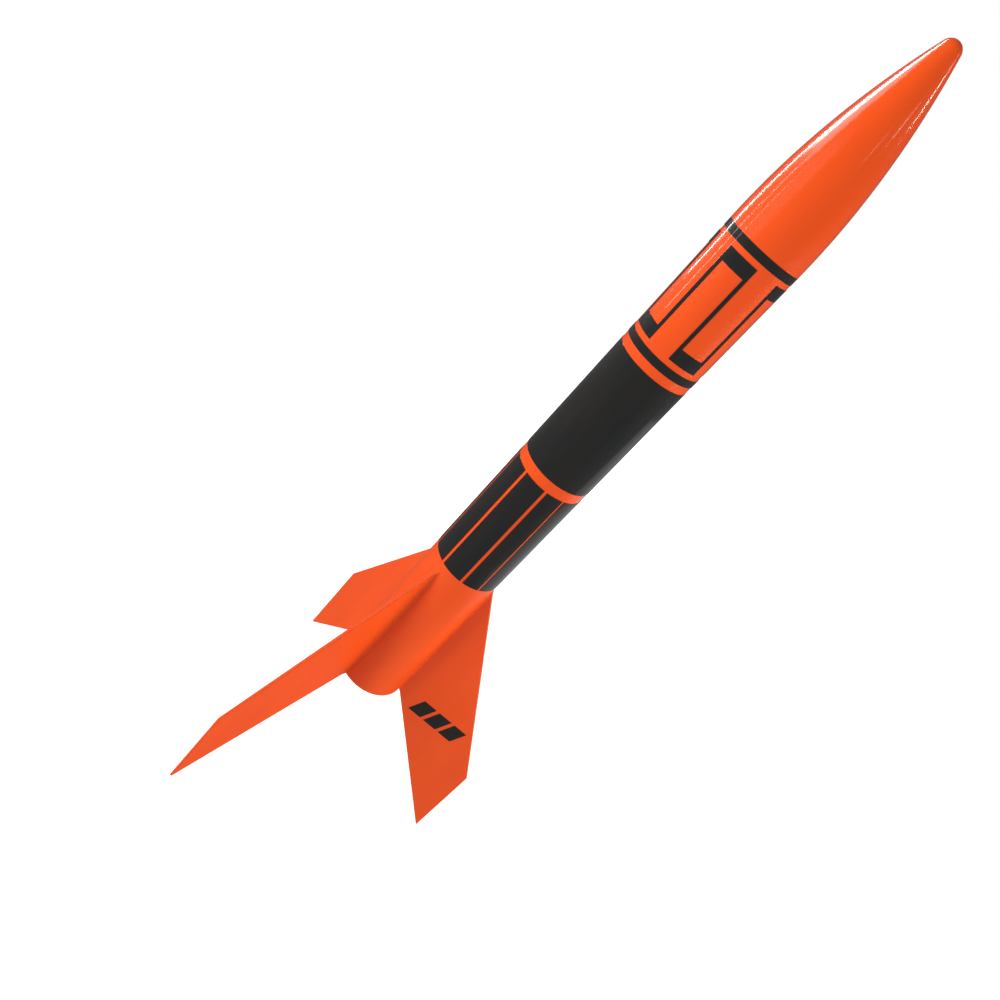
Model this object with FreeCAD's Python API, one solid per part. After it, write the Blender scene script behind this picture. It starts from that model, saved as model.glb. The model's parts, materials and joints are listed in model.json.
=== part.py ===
import FreeCAD, Part
import math
import os

# Model rocket with a moulded fin unit, a slip-fit nose cone and a hook-held 18 mm motor.
# Millimetres. +Z runs up the rocket's axis to the nose. The origin is on that axis, in the plane
# through the lower corners of the three fins, on which the rocket stands. One fin points along -Y.

V = FreeCAD.Vector

# ---- driving dimensions -------------------------------------------------------------------------

# body tube
tube_outer_radius = 12.4
tube_wall = 0.35
tube_length = 137.6

# fin unit: a sleeve with the tube's outer radius, a shoulder inside the tube, and three fins
sleeve_length = 59.1
sleeve_wall = 1.2
sleeve_shoulder_length = 12.2
sleeve_shoulder_wall = 1.2
tail_rim_flare = 0.35
tail_flare_length = 14.0
fin_count = 3
fin_first_angle = -90.0
fin_span = 41.5
fin_tip_chord = 32.3
fin_root_setback = 2.6
fin_trailing_drop = 44.9
fin_root_thickness = 1.6
fin_tip_thickness = 0.9
fin_edge_round = 0.3
fin_root_round = 1.1
fin_foot_cut = 0.6

# motor mount
motor_tube_inner_radius = 9.0
motor_tube_wall = 0.35
motor_tube_recess = 1.0
motor_overhang = 3.5
motor_length = 70.0
motor_running_clearance = 0.08
thrust_ring_length = 5.5
thrust_ring_wall = 2.4
motor_end_clearance = 0.05
motor_tube_above_hook = 1.4
ring_thickness = 3.2
rear_ring_inset = 4.0

# engine hook, a bent spring strip on the +Y side of the motor tube
hook_angle = 90.0
hook_width = 3.2
hook_thickness = 0.6
hook_tube_gap = 0.05
hook_lip_overlap = 1.4
hook_tab_drop = 5.6
hook_tab_reach = 3.0
hook_slot_clearance = 0.1
hook_channel_width = 4.8
hook_channel_depth = 0.65
hook_channel_length = 24.0
retainer_length = 6.0
retainer_wall = 0.4
retainer_height = 30.0

# motor
motor_case_wall = 2.5
nozzle_length = 9.0
nozzle_throat_radius = 1.6
nozzle_throat_length = 3.0
nozzle_mouth_radius = 3.6
propellant_length = 31.0
delay_length = 15.0
ejection_length = 6.5
end_cap_length = 3.0

# nose cone
nose_length = 67.0
nose_base_lip = 0.1
nose_tip_radius = 3.1
nose_wall = 1.3
nose_shoulder_length = 19.0
nose_shoulder_wall = 1.1
nose_running_clearance = 0.05
nose_seat_gap = 0.05
base_cap_thickness = 2.5
eyelet_radius = 2.6
eyelet_wire_radius = 0.9
eyelet_drop = 1.3

# launch lug, on the +Y side between two fins
lug_angle = 90.0
lug_bore_radius = 2.0
lug_wall = 0.3
lug_length = 60.0
lug_height = 34.0
lug_seat_depth = 0.12

# wrap decals: panels and the band are laid out from the tube's lower end, the rest from its upper end
decal_thickness = 0.1
panel_height = 43.8
panel_band_gap = 3.8
ring_height = 2.65
meander_height = 33.6
meander_bar_height = 4.4
meander_line_width = 1.15
meander_top_gap = 1.75
meander_ring_gap = 1.9
ring_band_gap = 2.95
panel_line_width = 1.0
panel_seam_width = 0.6
wrap_pitches = 8
wrap_remainder_angle = 31.25
panel_seam_angle = -21.5
meander_first_angle = -218.9

# fin decal, slanted bars on one fin
fin_decal_fin = 1
fin_decal_radius = 31.0
fin_decal_z = 44.3
fin_decal_bar_height = 7.0
fin_decal_bar_width = 5.4
fin_decal_bar_gap = 1.5
fin_decal_bar_count = 3
fin_decal_slant = 2.6

# recovery bay: the wadding lies on the motor mount, the coiled shock cord hangs below the nose cone's
# shoulder with its anchor on the tube's wall, and the folded canopy fills the length between them
wadding_gap = 1.4
wadding_clearance = 0.65
wadding_length = 27.0
canopy_gap = 2.0
canopy_clearance = 1.45
packed_edge_round = 2.5
line_wrap_gap = 0.05
line_wrap_length = 14.0
coil_gap = 3.5
coil_clearance = 2.6
coil_band_width = 3.6
coil_height = 11.0
coil_headroom = 17.8
cord_radius = 0.8
cord_clearance = 0.4
cord_grip = 0.5
cord_trim_share = 0.45
cord_lean = 1.0
cord_anchor_overlap = 2.0
cord_anchor_rise = 5.5
cord_anchor_entry = 5.5
anchor_angle = 90.0
anchor_tab_width = 10.0
anchor_tab_thickness = 0.8
anchor_tab_length = 13.0
anchor_coil_gap = 0.85

# ---- derived places -----------------------------------------------------------------------------

tube_inner_radius = tube_outer_radius - tube_wall
tail_z = fin_trailing_drop
tube_base_z = tail_z + sleeve_length
tube_top_z = tube_base_z + tube_length
sleeve_inner_radius = tube_outer_radius - sleeve_wall
shoulder_inner_radius = tube_inner_radius - sleeve_shoulder_wall
shoulder_top_z = tube_base_z + sleeve_shoulder_length
decal_outer_radius = tube_outer_radius + decal_thickness
tail_rim_radius = tube_outer_radius + tail_rim_flare
fin_tip_radius = tube_outer_radius + fin_span

motor_tube_outer_radius = motor_tube_inner_radius + motor_tube_wall
motor_radius = motor_tube_inner_radius - motor_running_clearance
motor_tube_base_z = tail_z + motor_tube_recess
motor_base_z = motor_tube_base_z - motor_overhang
motor_top_z = motor_base_z + motor_length
thrust_ring_base_z = motor_top_z + motor_end_clearance
hook_tang_base_z = thrust_ring_base_z + thrust_ring_length
hook_tang_top_z = hook_tang_base_z + hook_thickness
motor_tube_top_z = hook_tang_top_z + motor_tube_above_hook
hook_inner_radius = motor_tube_outer_radius + hook_tube_gap
hook_outer_radius = hook_inner_radius + hook_thickness
retainer_base_z = motor_base_z + retainer_height

nose_base_z = tube_top_z + nose_seat_gap
nose_base_radius = tube_outer_radius + nose_base_lip
nose_shoulder_radius = tube_inner_radius - nose_running_clearance
nose_bore_radius = nose_shoulder_radius - nose_shoulder_wall
nose_shoulder_base_z = nose_base_z - nose_shoulder_length
eyelet_z = nose_shoulder_base_z - eyelet_drop
eyelet_bottom_z = eyelet_z - eyelet_radius - eyelet_wire_radius

wadding_radius = tube_inner_radius - wadding_clearance
wadding_base_z = motor_tube_top_z + wadding_gap
wadding_top_z = wadding_base_z + wadding_length
coil_outer_radius = tube_inner_radius - coil_clearance
coil_inner_radius = coil_outer_radius - coil_band_width
coil_middle_radius = (coil_inner_radius + coil_outer_radius) / 2
coil_top_z = nose_shoulder_base_z - coil_headroom
coil_base_z = coil_top_z - coil_height
anchor_inner_radius = tube_inner_radius - anchor_tab_thickness
anchor_top_z = coil_base_z - anchor_coil_gap
anchor_base_z = anchor_top_z - anchor_tab_length
canopy_radius = tube_inner_radius - canopy_clearance
canopy_base_z = wadding_top_z + canopy_gap
canopy_top_z = coil_base_z - coil_gap

top_ring_z = tube_top_z - ring_height
meander_top_z = top_ring_z - meander_top_gap
meander_base_z = meander_top_z - meander_height
lower_ring_z = meander_base_z - meander_ring_gap - ring_height
band_base_z = tube_base_z + panel_height + panel_band_gap
band_top_z = lower_ring_z - ring_band_gap
wrap_pitch_angle = (360.0 - wrap_remainder_angle) / wrap_pitches

# ---- shared shapes ------------------------------------------------------------------------------


def polar(radius, angle, z=0.0):
    """The point at a radius and an angle in degrees round the rocket's axis."""
    return V(radius * math.cos(math.radians(angle)), radius * math.sin(math.radians(angle)), z)


def cylinder(radius, z_low, z_high):
    return Part.makeCylinder(radius, z_high - z_low, V(0, 0, z_low))


def ring(inner, outer, z_low, z_high):
    """An annular solid round the rocket's axis."""
    return cylinder(outer, z_low, z_high).cut(cylinder(inner, z_low, z_high))


def arc(radius, start, end, z):
    """An arc round the rocket's axis between two angles in degrees."""
    middle = (start + end) / 2
    return Part.Arc(polar(radius, start, z), polar(radius, middle, z), polar(radius, end, z)).toShape()


def sector(inner, outer, z_low, z_high, start, end):
    """A piece of a ring between two angles in degrees."""
    outline = Part.Wire([
        arc(outer, start, end, z_low),
        Part.LineSegment(polar(outer, end, z_low), polar(inner, end, z_low)).toShape(),
        arc(inner, end, start, z_low),
        Part.LineSegment(polar(inner, start, z_low), polar(outer, start, z_low)).toShape(),
    ])
    return Part.Face(outline).extrude(V(0, 0, z_high - z_low))


def revolve(points):
    """Turns a closed outline of (radius, z) points about the rocket's axis."""
    corners = [V(radius, 0, z) for radius, z in points]
    face = Part.Face(Part.makePolygon(corners + corners[:1]))
    return face.revolve(V(0, 0, 0), V(0, 0, 1), 360)


def plate(points, low_x, high_x):
    """Extrudes a closed outline of (y, z) points along X."""
    corners = [V(low_x, y, z) for y, z in points]
    face = Part.Face(Part.makePolygon(corners + corners[:1]))
    return face.extrude(V(high_x - low_x, 0, 0))


def turned(shape, angle):
    """A copy of a shape built on the +Y side, turned so that it points along an angle."""
    copy = shape.copy()
    copy.rotate(V(0, 0, 0), V(0, 0, 1), angle - 90.0)
    return copy


def angle_of(arc_length, radius):
    return math.degrees(arc_length / radius)


def save(name, shape):
    """Writes one sub-part, after checking that it is whole."""
    if not shape.isValid() or not shape.Solids:
        raise RuntimeError(name + " is not a valid solid")
    shape.exportStep("parts/" + name + ".step")
    print(name, "solids", len(shape.Solids), "volume", round(shape.Volume, 1))


# ---- airframe -----------------------------------------------------------------------------------


def body_tube():
    return ring(tube_inner_radius, tube_outer_radius, tube_base_z, tube_top_z)


def fin_outline():
    """The fin's four corners as (y, z) points, for a fin along +Y that is rooted in the sleeve's wall."""
    root = sleeve_inner_radius + sleeve_wall / 2
    leading_z = tube_base_z - fin_root_setback
    leading_slope = (leading_z - fin_tip_chord) / (fin_tip_radius - tube_outer_radius)
    trailing_slope = (tail_z + fin_foot_cut) / (fin_tip_radius - tail_rim_radius)
    return [
        (root, leading_z + leading_slope * (tube_outer_radius - root)),
        (fin_tip_radius, fin_tip_chord),
        (fin_tip_radius, -fin_foot_cut),
        (root, tail_z + trailing_slope * (tail_rim_radius - root)),
    ]


def fin_wedge():
    """A tall wedge along +Y with the fin's two faces, thinner towards the tip."""
    root_y = sleeve_inner_radius
    taper = (fin_root_thickness - fin_tip_thickness) / fin_span / 2
    root_half = fin_root_thickness / 2 + taper * (tube_outer_radius - root_y)
    tip_half = fin_tip_thickness / 2
    low_z = -fin_foot_cut
    corners = [
        V(-root_half, root_y, low_z),
        V(root_half, root_y, low_z),
        V(tip_half, fin_tip_radius, low_z),
        V(-tip_half, fin_tip_radius, low_z),
    ]
    face = Part.Face(Part.makePolygon(corners + corners[:1]))
    return face.extrude(V(0, 0, tube_base_z - low_z))


def fin():
    """One fin along +Y, with rounded free edges, a rounded root and a small flat foot."""
    outline = fin_outline()
    blade = fin_wedge().common(plate(outline, -fin_root_thickness, fin_root_thickness))
    free = [edge for edge in blade.Edges if is_free_edge(edge)]
    blade = blade.makeFillet(fin_edge_round, free)
    below = Part.makeBox(
        2 * fin_root_thickness,
        fin_tip_radius,
        fin_foot_cut,
        V(-fin_root_thickness, 0, -fin_foot_cut),
    )
    return blade.cut(below).fuse(root_rounds(outline, fin_root_thickness / 2))


def is_free_edge(edge):
    """True for an edge where a blade's face meets its leading, tip or trailing side."""
    ends = [vertex.Point for vertex in edge.Vertexes]
    on_one_face = ends[0].x * ends[1].x > 0
    return on_one_face and max(point.y for point in ends) > tube_outer_radius + fin_root_round


def root_rounds(outline, half):
    """The two hollow rounds between a blade's faces and the sleeve."""
    reach = tube_outer_radius + fin_root_round
    centre_x = half + fin_root_round
    centre_y = math.sqrt(reach ** 2 - centre_x ** 2)
    block = Part.makeBox(2 * centre_x, centre_y, tube_base_z, V(-centre_x, 0, 0))
    for side in (-1, 1):
        corner = V(side * centre_x, centre_y, 0)
        block = block.cut(Part.makeCylinder(fin_root_round, tube_base_z, corner))
    block = block.cut(cylinder(sleeve_inner_radius + sleeve_wall / 2, 0, tube_base_z))
    return block.common(plate(outline, -centre_x, centre_x))


def fin_unit():
    flare_z = tail_z + tail_flare_length
    body = revolve([
        (sleeve_inner_radius, tail_z),
        (tail_rim_radius, tail_z),
        (tube_outer_radius, flare_z),
        (tube_outer_radius, tube_base_z),
        (tube_inner_radius, tube_base_z),
        (tube_inner_radius, shoulder_top_z),
        (shoulder_inner_radius, shoulder_top_z),
        (shoulder_inner_radius, tube_base_z - sleeve_wall),
        (sleeve_inner_radius, tube_base_z - 2 * sleeve_wall),
    ])
    blade = fin()
    for number in range(fin_count):
        body = body.fuse(turned(blade, fin_first_angle + number * 360.0 / fin_count))
    channel = Part.makeBox(
        hook_channel_width,
        sleeve_inner_radius + hook_channel_depth,
        hook_channel_length,
        V(-hook_channel_width / 2, 0, tail_z),
    )
    return body.cut(turned(channel, hook_angle)).removeSplitter()


def launch_lug():
    centre = decal_outer_radius + lug_bore_radius + lug_wall - lug_seat_depth
    base = V(0, centre, tube_base_z + lug_height)
    straw = Part.makeCylinder(lug_bore_radius + lug_wall, lug_length, base)
    straw = straw.cut(Part.makeCylinder(lug_bore_radius, lug_length, base))
    straw = straw.cut(cylinder(decal_outer_radius, base.z, base.z + lug_length))
    return turned(straw, lug_angle)


# ---- motor mount --------------------------------------------------------------------------------


def hook_box(extra_width, z_low, z_high, inner, outer):
    """A block on the hook's side, wider than the hook by a clearance on each side."""
    width = hook_width + 2 * extra_width
    block = Part.makeBox(width, outer - inner, z_high - z_low, V(-width / 2, inner, z_low))
    return turned(block, hook_angle)


def motor_tube():
    slit = hook_box(
        hook_slot_clearance,
        hook_tang_base_z,
        hook_tang_top_z + hook_slot_clearance,
        0.0,
        hook_outer_radius,
    )
    tube = ring(motor_tube_inner_radius, motor_tube_outer_radius, motor_tube_base_z, motor_tube_top_z)
    return tube.cut(slit)


def thrust_ring():
    inner = motor_tube_inner_radius - thrust_ring_wall
    return ring(inner, motor_tube_inner_radius, thrust_ring_base_z, hook_tang_base_z)


def forward_centering_ring():
    top_z = shoulder_top_z + ring_thickness
    whole = ring(motor_tube_outer_radius, tube_inner_radius, shoulder_top_z, top_z)
    notch = hook_box(
        hook_slot_clearance,
        shoulder_top_z,
        top_z,
        0.0,
        hook_outer_radius + hook_slot_clearance,
    )
    return whole.cut(notch)


def rear_centering_ring():
    base_z = motor_tube_base_z + rear_ring_inset
    whole = ring(motor_tube_outer_radius, sleeve_inner_radius, base_z, base_z + ring_thickness)
    side_room = (hook_channel_width - hook_width) / 2
    return whole.cut(hook_box(side_room, base_z, base_z + ring_thickness, 0.0, tube_outer_radius))


def hook_retainer():
    """A band round the motor tube that bridges over the hook."""
    top_z = retainer_base_z + retainer_length
    outer_hook = hook_outer_radius + hook_tube_gap
    band = cylinder(motor_tube_outer_radius + retainer_wall, retainer_base_z, top_z)
    band = band.fuse(hook_box(retainer_wall, retainer_base_z, top_z, 0.0, outer_hook + retainer_wall))
    band = band.cut(cylinder(motor_tube_outer_radius, retainer_base_z, top_z))
    return band.cut(hook_box(hook_tube_gap, retainer_base_z, top_z, 0.0, outer_hook)).removeSplitter()


def strip_outline(centre_line, thickness):
    """The outline of a bent strip: both sides of a centre line of (y, z) points, with mitred bends."""
    left = []
    right = []
    last = len(centre_line) - 1
    for number, (y, z) in enumerate(centre_line):
        before = unit(centre_line[max(number - 1, 0)], centre_line[max(number, 1)])
        after = unit(centre_line[min(number, last - 1)], centre_line[min(number + 1, last)])
        normal = (-before[1] - after[1], before[0] + after[0])
        scale = thickness / (1 + before[0] * after[0] + before[1] * after[1]) / 2
        left.append((y + normal[0] * scale, z + normal[1] * scale))
        right.append((y - normal[0] * scale, z - normal[1] * scale))
    return left + right[::-1]


def unit(start, end):
    length = math.hypot(end[0] - start[0], end[1] - start[1])
    return ((end[0] - start[0]) / length, (end[1] - start[1]) / length)


def engine_hook():
    """The spring strip: a tang through the motor tube, a long leaf, a lip under the motor, and a tab."""
    half = hook_thickness / 2
    leaf_y = hook_inner_radius + half
    lip_z = motor_base_z - motor_end_clearance - half
    lip_y = motor_radius - hook_lip_overlap + half
    tang_y = motor_tube_inner_radius - thrust_ring_wall / 2
    outline = strip_outline([
        (tang_y, hook_tang_base_z + half),
        (leaf_y, hook_tang_base_z + half),
        (leaf_y, lip_z),
        (lip_y, lip_z),
        (lip_y + hook_tab_reach, lip_z - hook_tab_drop),
    ], hook_thickness)
    return turned(plate(outline, -hook_width / 2, hook_width / 2), hook_angle)


# ---- motor --------------------------------------------------------------------------------------

motor_core_radius = motor_radius - motor_case_wall
nozzle_top_z = motor_base_z + nozzle_length
propellant_top_z = nozzle_top_z + propellant_length
delay_top_z = propellant_top_z + delay_length
ejection_top_z = delay_top_z + ejection_length


def motor_casing():
    return ring(motor_core_radius, motor_radius, motor_base_z, motor_top_z)


def motor_nozzle():
    """A clay plug with a straight throat that opens in a cone towards the tail."""
    throat_base_z = nozzle_top_z - nozzle_throat_length
    return revolve([
        (nozzle_mouth_radius, motor_base_z),
        (motor_core_radius, motor_base_z),
        (motor_core_radius, nozzle_top_z),
        (nozzle_throat_radius, nozzle_top_z),
        (nozzle_throat_radius, throat_base_z),
    ])


# ---- nose ---------------------------------------------------------------------------------------


def ogive(base_radius, length, tip_radius, base_z):
    """A solid of revolution: one long arc, upright at its base, that runs into a round tip."""
    tip_centre = length - tip_radius
    arc_radius = (tip_centre ** 2 + base_radius ** 2 - tip_radius ** 2) / (2 * (base_radius - tip_radius))
    arc_centre = base_radius - arc_radius
    join_angle = math.atan2(tip_centre, -arc_centre)

    def on_arc(angle):
        return V(arc_centre + arc_radius * math.cos(angle), 0, base_z + arc_radius * math.sin(angle))

    def on_tip(angle):
        return V(tip_radius * math.cos(angle), 0, base_z + tip_centre + tip_radius * math.sin(angle))

    outline = Part.Wire([
        Part.LineSegment(V(0, 0, base_z), on_arc(0)).toShape(),
        Part.Arc(on_arc(0), on_arc(join_angle / 2), on_arc(join_angle)).toShape(),
        Part.Arc(on_tip(join_angle), on_tip((join_angle + math.pi / 2) / 2), on_tip(math.pi / 2)).toShape(),
        Part.LineSegment(on_tip(math.pi / 2), V(0, 0, base_z)).toShape(),
    ])
    return Part.Face(outline).revolve(V(0, 0, 0), V(0, 0, 1), 360)


def nose_cone():
    """A hollow ogive with a shoulder that slips into the body tube."""
    outside = ogive(nose_base_radius, nose_length, nose_tip_radius, nose_base_z)
    shoulder = cylinder(nose_shoulder_radius, nose_shoulder_base_z, nose_base_z)
    hollow_base_z = nose_base_z + nose_wall
    hollow = ogive(
        nose_bore_radius,
        nose_length - 2 * nose_wall,
        nose_tip_radius - nose_wall,
        hollow_base_z,
    )
    bore = cylinder(nose_bore_radius, nose_shoulder_base_z, hollow_base_z)
    return outside.fuse(shoulder).cut(hollow).cut(bore).removeSplitter()


def nose_base_cap():
    """The glued plug in the shoulder's mouth, with the eyelet for the shock cord."""
    plug = cylinder(nose_bore_radius, nose_shoulder_base_z, nose_shoulder_base_z + base_cap_thickness)
    loop = Part.makeTorus(eyelet_radius, eyelet_wire_radius, V(0, 0, eyelet_z), V(0, 1, 0))
    above = cylinder(nose_bore_radius, nose_shoulder_base_z + base_cap_thickness, nose_base_z)
    return plug.fuse(loop.cut(above)).removeSplitter()


# ---- decals -------------------------------------------------------------------------------------


def wrap_ring(z_low, z_high):
    """A black ring wrapped round the tube."""
    return ring(tube_outer_radius, decal_outer_radius, z_low, z_high)


def wrap_sector(z_low, z_high, start, end):
    """A black patch wrapped round part of the tube."""
    return sector(tube_outer_radius, decal_outer_radius, z_low, z_high, start, end)


def stripe_panels():
    """Upright panels side by side, with one narrow panel and a finer seam where the wrap closes."""
    line = angle_of(panel_line_width, tube_outer_radius) / 2
    seam = angle_of(panel_seam_width, tube_outer_radius) / 2
    panels = []
    for number in range(wrap_pitches + 1):
        start = panel_seam_angle + number * wrap_pitch_angle
        is_last = number == wrap_pitches
        end = panel_seam_angle + 360.0 if is_last else start + wrap_pitch_angle
        low = start + (seam if number == 0 else line)
        high = end - (seam if is_last else line)
        panels.append(wrap_sector(tube_base_z, tube_base_z + panel_height, low, high))
    return Part.makeCompound(panels)


def meander():
    """Upright lines joined at the bottom and the top in turn, as a row of battlements."""
    half = angle_of(meander_line_width, tube_outer_radius) / 2
    shape = None
    for number in range(wrap_pitches + 1):
        centre = meander_first_angle + number * wrap_pitch_angle
        pieces = [wrap_sector(meander_base_z, meander_top_z, centre - half, centre + half)]
        if number < wrap_pitches:
            bar_z = meander_top_z - meander_bar_height if number % 2 else meander_base_z
            bar_end = centre + wrap_pitch_angle + half
            pieces.append(wrap_sector(bar_z, bar_z + meander_bar_height, centre - half, bar_end))
        for piece in pieces:
            shape = piece if shape is None else shape.fuse(piece)
    return shape.removeSplitter()


def fin_decal():
    """Slanted bars on one face of one fin."""
    step = fin_decal_bar_width + fin_decal_bar_gap
    low_z = fin_decal_z - fin_decal_bar_height / 2
    high_z = fin_decal_z + fin_decal_bar_height / 2
    skin = fin_wedge()
    skin.translate(V(decal_thickness, 0, 0))
    skin = skin.cut(fin_wedge())
    bars = []
    for number in range(fin_decal_bar_count):
        centre = fin_decal_radius + (number - (fin_decal_bar_count - 1) / 2) * step
        near = centre - fin_decal_bar_width / 2
        far = centre + fin_decal_bar_width / 2
        corners = [
            (near - fin_decal_slant / 2, low_z),
            (far - fin_decal_slant / 2, low_z),
            (far + fin_decal_slant / 2, high_z),
            (near + fin_decal_slant / 2, high_z),
        ]
        bars.append(plate(corners, 0, fin_root_thickness).common(skin))
    return turned(Part.makeCompound(bars), fin_first_angle + fin_decal_fin * 360.0 / fin_count)


# ---- recovery bay -------------------------------------------------------------------------------


def rounded_cylinder(radius, z_low, z_high):
    """The plain outer shape of something packed in the tube, with rounded rims."""
    body = cylinder(radius, z_low, z_high)
    rims = [edge for edge in body.Edges if isinstance(edge.Curve, Part.Circle)]
    return body.makeFillet(packed_edge_round, rims)


def cord_path(points):
    """Straight runs through the points, joined by tangent arcs nearly as large as the runs allow."""
    edges = []
    start = points[0]
    for before, corner, after in zip(points, points[1:], points[2:]):
        inward = (corner - before).normalize()
        outward = (after - corner).normalize()
        half_turn = inward.getAngle(outward) / 2
        trim = cord_trim_share * min((corner - before).Length, (after - corner).Length)
        radius = trim / math.tan(half_turn)
        print("cord arc radius", round(radius, 2))
        arc_start = corner - inward * trim
        arc_end = corner + outward * trim
        toward_centre = (outward - inward).normalize()
        centre = corner + toward_centre * (radius / math.cos(half_turn))
        arc_middle = centre - toward_centre * radius
        edges.append(Part.LineSegment(start, arc_start).toShape())
        edges.append(Part.Arc(arc_start, arc_middle, arc_end).toShape())
        start = arc_end
    edges.append(Part.LineSegment(start, points[-1]).toShape())
    return Part.Wire(edges)


def cord_tube(points):
    path = cord_path(points)
    section = Part.Wire(Part.makeCircle(cord_radius, points[0], points[1] - points[0]))
    tube = path.makePipeShell([section], True, False)
    expected = math.pi * cord_radius ** 2 * path.Length
    print("cord length", round(path.Length, 2), "volume share", round(tube.Volume / expected, 4))
    return tube


def cord_anchor():
    """The folded paper tab glued inside the tube, which holds the shock cord."""
    half = angle_of(anchor_tab_width, tube_inner_radius) / 2
    low = anchor_angle - half
    high = anchor_angle + half
    return sector(anchor_inner_radius, tube_inner_radius, anchor_base_z, anchor_top_z, low, high)


def cord_anchor_run():
    """The stretch of shock cord from the anchor's upper end up into the coil."""
    cord_y = anchor_inner_radius - cord_radius
    start_z = anchor_top_z - cord_anchor_overlap
    return turned(cord_tube([
        V(0, cord_y, start_z),
        V(0, cord_y, start_z + cord_anchor_rise),
        V(0, coil_outer_radius - cord_grip, coil_base_z + cord_anchor_entry),
    ]), anchor_angle)


def cord_nose_run():
    """The stretch of shock cord from the nose cone's eyelet down to just above the coil."""
    top_z = eyelet_bottom_z + cord_grip
    low_z = coil_top_z + cord_clearance + cord_radius
    middle_z = (top_z + low_z) / 2
    return cord_tube([
        V(0, 0, top_z),
        V(0, 0, middle_z + cord_lean),
        V(-coil_middle_radius / 2, 0, low_z + cord_lean),
        V(-coil_middle_radius, 0, low_z),
    ])


def cord_coil():
    return ring(coil_inner_radius, coil_outer_radius, coil_base_z, coil_top_z)


def line_wraps():
    middle_z = (canopy_base_z + canopy_top_z) / 2
    half = line_wrap_length / 2
    return ring(canopy_radius, anchor_inner_radius - line_wrap_gap, middle_z - half, middle_z + half)


# ---- every sub-part, one file each --------------------------------------------------------------

os.makedirs("parts", exist_ok=True)

save("body_tube", body_tube())
save("fin_unit", fin_unit())
save("launch_lug", launch_lug())
save("decal_stripe_panels", stripe_panels())
save("decal_black_band", wrap_ring(band_base_z, band_top_z))
save("decal_lower_ring", wrap_ring(lower_ring_z, lower_ring_z + ring_height))
save("decal_meander", meander())
save("decal_top_ring", wrap_ring(top_ring_z, tube_top_z))
save("decal_fin_bars", fin_decal())

save("motor_mount_tube", motor_tube())
save("thrust_ring", thrust_ring())
save("forward_centering_ring", forward_centering_ring())
save("rear_centering_ring", rear_centering_ring())
save("hook_retainer_band", hook_retainer())
save("engine_hook", engine_hook())

save("motor_casing", motor_casing())
save("motor_nozzle", motor_nozzle())
save("motor_propellant", cylinder(motor_core_radius, nozzle_top_z, propellant_top_z))
save("motor_delay_charge", cylinder(motor_core_radius, propellant_top_z, delay_top_z))
save("motor_ejection_charge", cylinder(motor_core_radius, delay_top_z, ejection_top_z))
save("motor_end_cap", cylinder(motor_core_radius, ejection_top_z, ejection_top_z + end_cap_length))

save("nose_cone", nose_cone())
save("nose_base_cap", nose_base_cap())

save("recovery_wadding", rounded_cylinder(wadding_radius, wadding_base_z, wadding_top_z))
save("parachute_canopy", rounded_cylinder(canopy_radius, canopy_base_z, canopy_top_z))
save("parachute_lines", line_wraps())
save("shock_cord_anchor", cord_anchor())
save("shock_cord_anchor_run", cord_anchor_run())
save("shock_cord_coil", cord_coil())
save("shock_cord_nose_run", cord_nose_run())
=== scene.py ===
import json
import math

import bmesh
import bpy
from mathutils import Matrix, Vector, noise


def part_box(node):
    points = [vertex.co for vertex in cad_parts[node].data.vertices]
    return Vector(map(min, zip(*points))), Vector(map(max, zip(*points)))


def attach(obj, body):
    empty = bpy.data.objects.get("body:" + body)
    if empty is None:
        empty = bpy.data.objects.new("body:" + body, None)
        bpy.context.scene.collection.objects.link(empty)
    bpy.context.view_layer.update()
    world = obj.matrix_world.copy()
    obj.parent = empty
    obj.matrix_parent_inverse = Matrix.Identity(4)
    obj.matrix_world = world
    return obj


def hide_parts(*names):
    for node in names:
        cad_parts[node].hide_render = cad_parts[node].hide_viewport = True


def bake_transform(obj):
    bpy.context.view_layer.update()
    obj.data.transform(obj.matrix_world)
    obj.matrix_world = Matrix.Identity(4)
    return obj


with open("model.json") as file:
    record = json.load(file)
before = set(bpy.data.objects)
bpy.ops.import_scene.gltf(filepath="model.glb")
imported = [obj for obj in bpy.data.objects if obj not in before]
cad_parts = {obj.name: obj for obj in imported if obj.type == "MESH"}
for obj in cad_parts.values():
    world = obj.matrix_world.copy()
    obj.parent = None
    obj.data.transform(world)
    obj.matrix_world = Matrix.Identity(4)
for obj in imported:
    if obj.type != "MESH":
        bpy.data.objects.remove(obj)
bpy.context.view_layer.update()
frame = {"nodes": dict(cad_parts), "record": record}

# Model rocket: camera, lights, finishes, and the soft and springy pieces that replace plain CAD solids.
# Metres, in the part's own frame: +Z runs up the rocket's axis and one fin points along -Y.

MM = 0.001

# ---- camera and studio --------------------------------------------------------------------------

CAMERA_AZIMUTH = math.radians(-64.8)
CAMERA_FROM_AXIS = 0.24286
CAMERA_HEIGHT = 0.26467
CAMERA_HEADING = math.radians(115.55)
CAMERA_PITCH = math.radians(-21.24)
CAMERA_ROLL = math.radians(43.14)
CAMERA_LENS = 30.97
CAMERA_SHIFT = (-0.0942, -0.0787)
WHITE = (1.0, 1.0, 1.0, 1.0)


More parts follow.
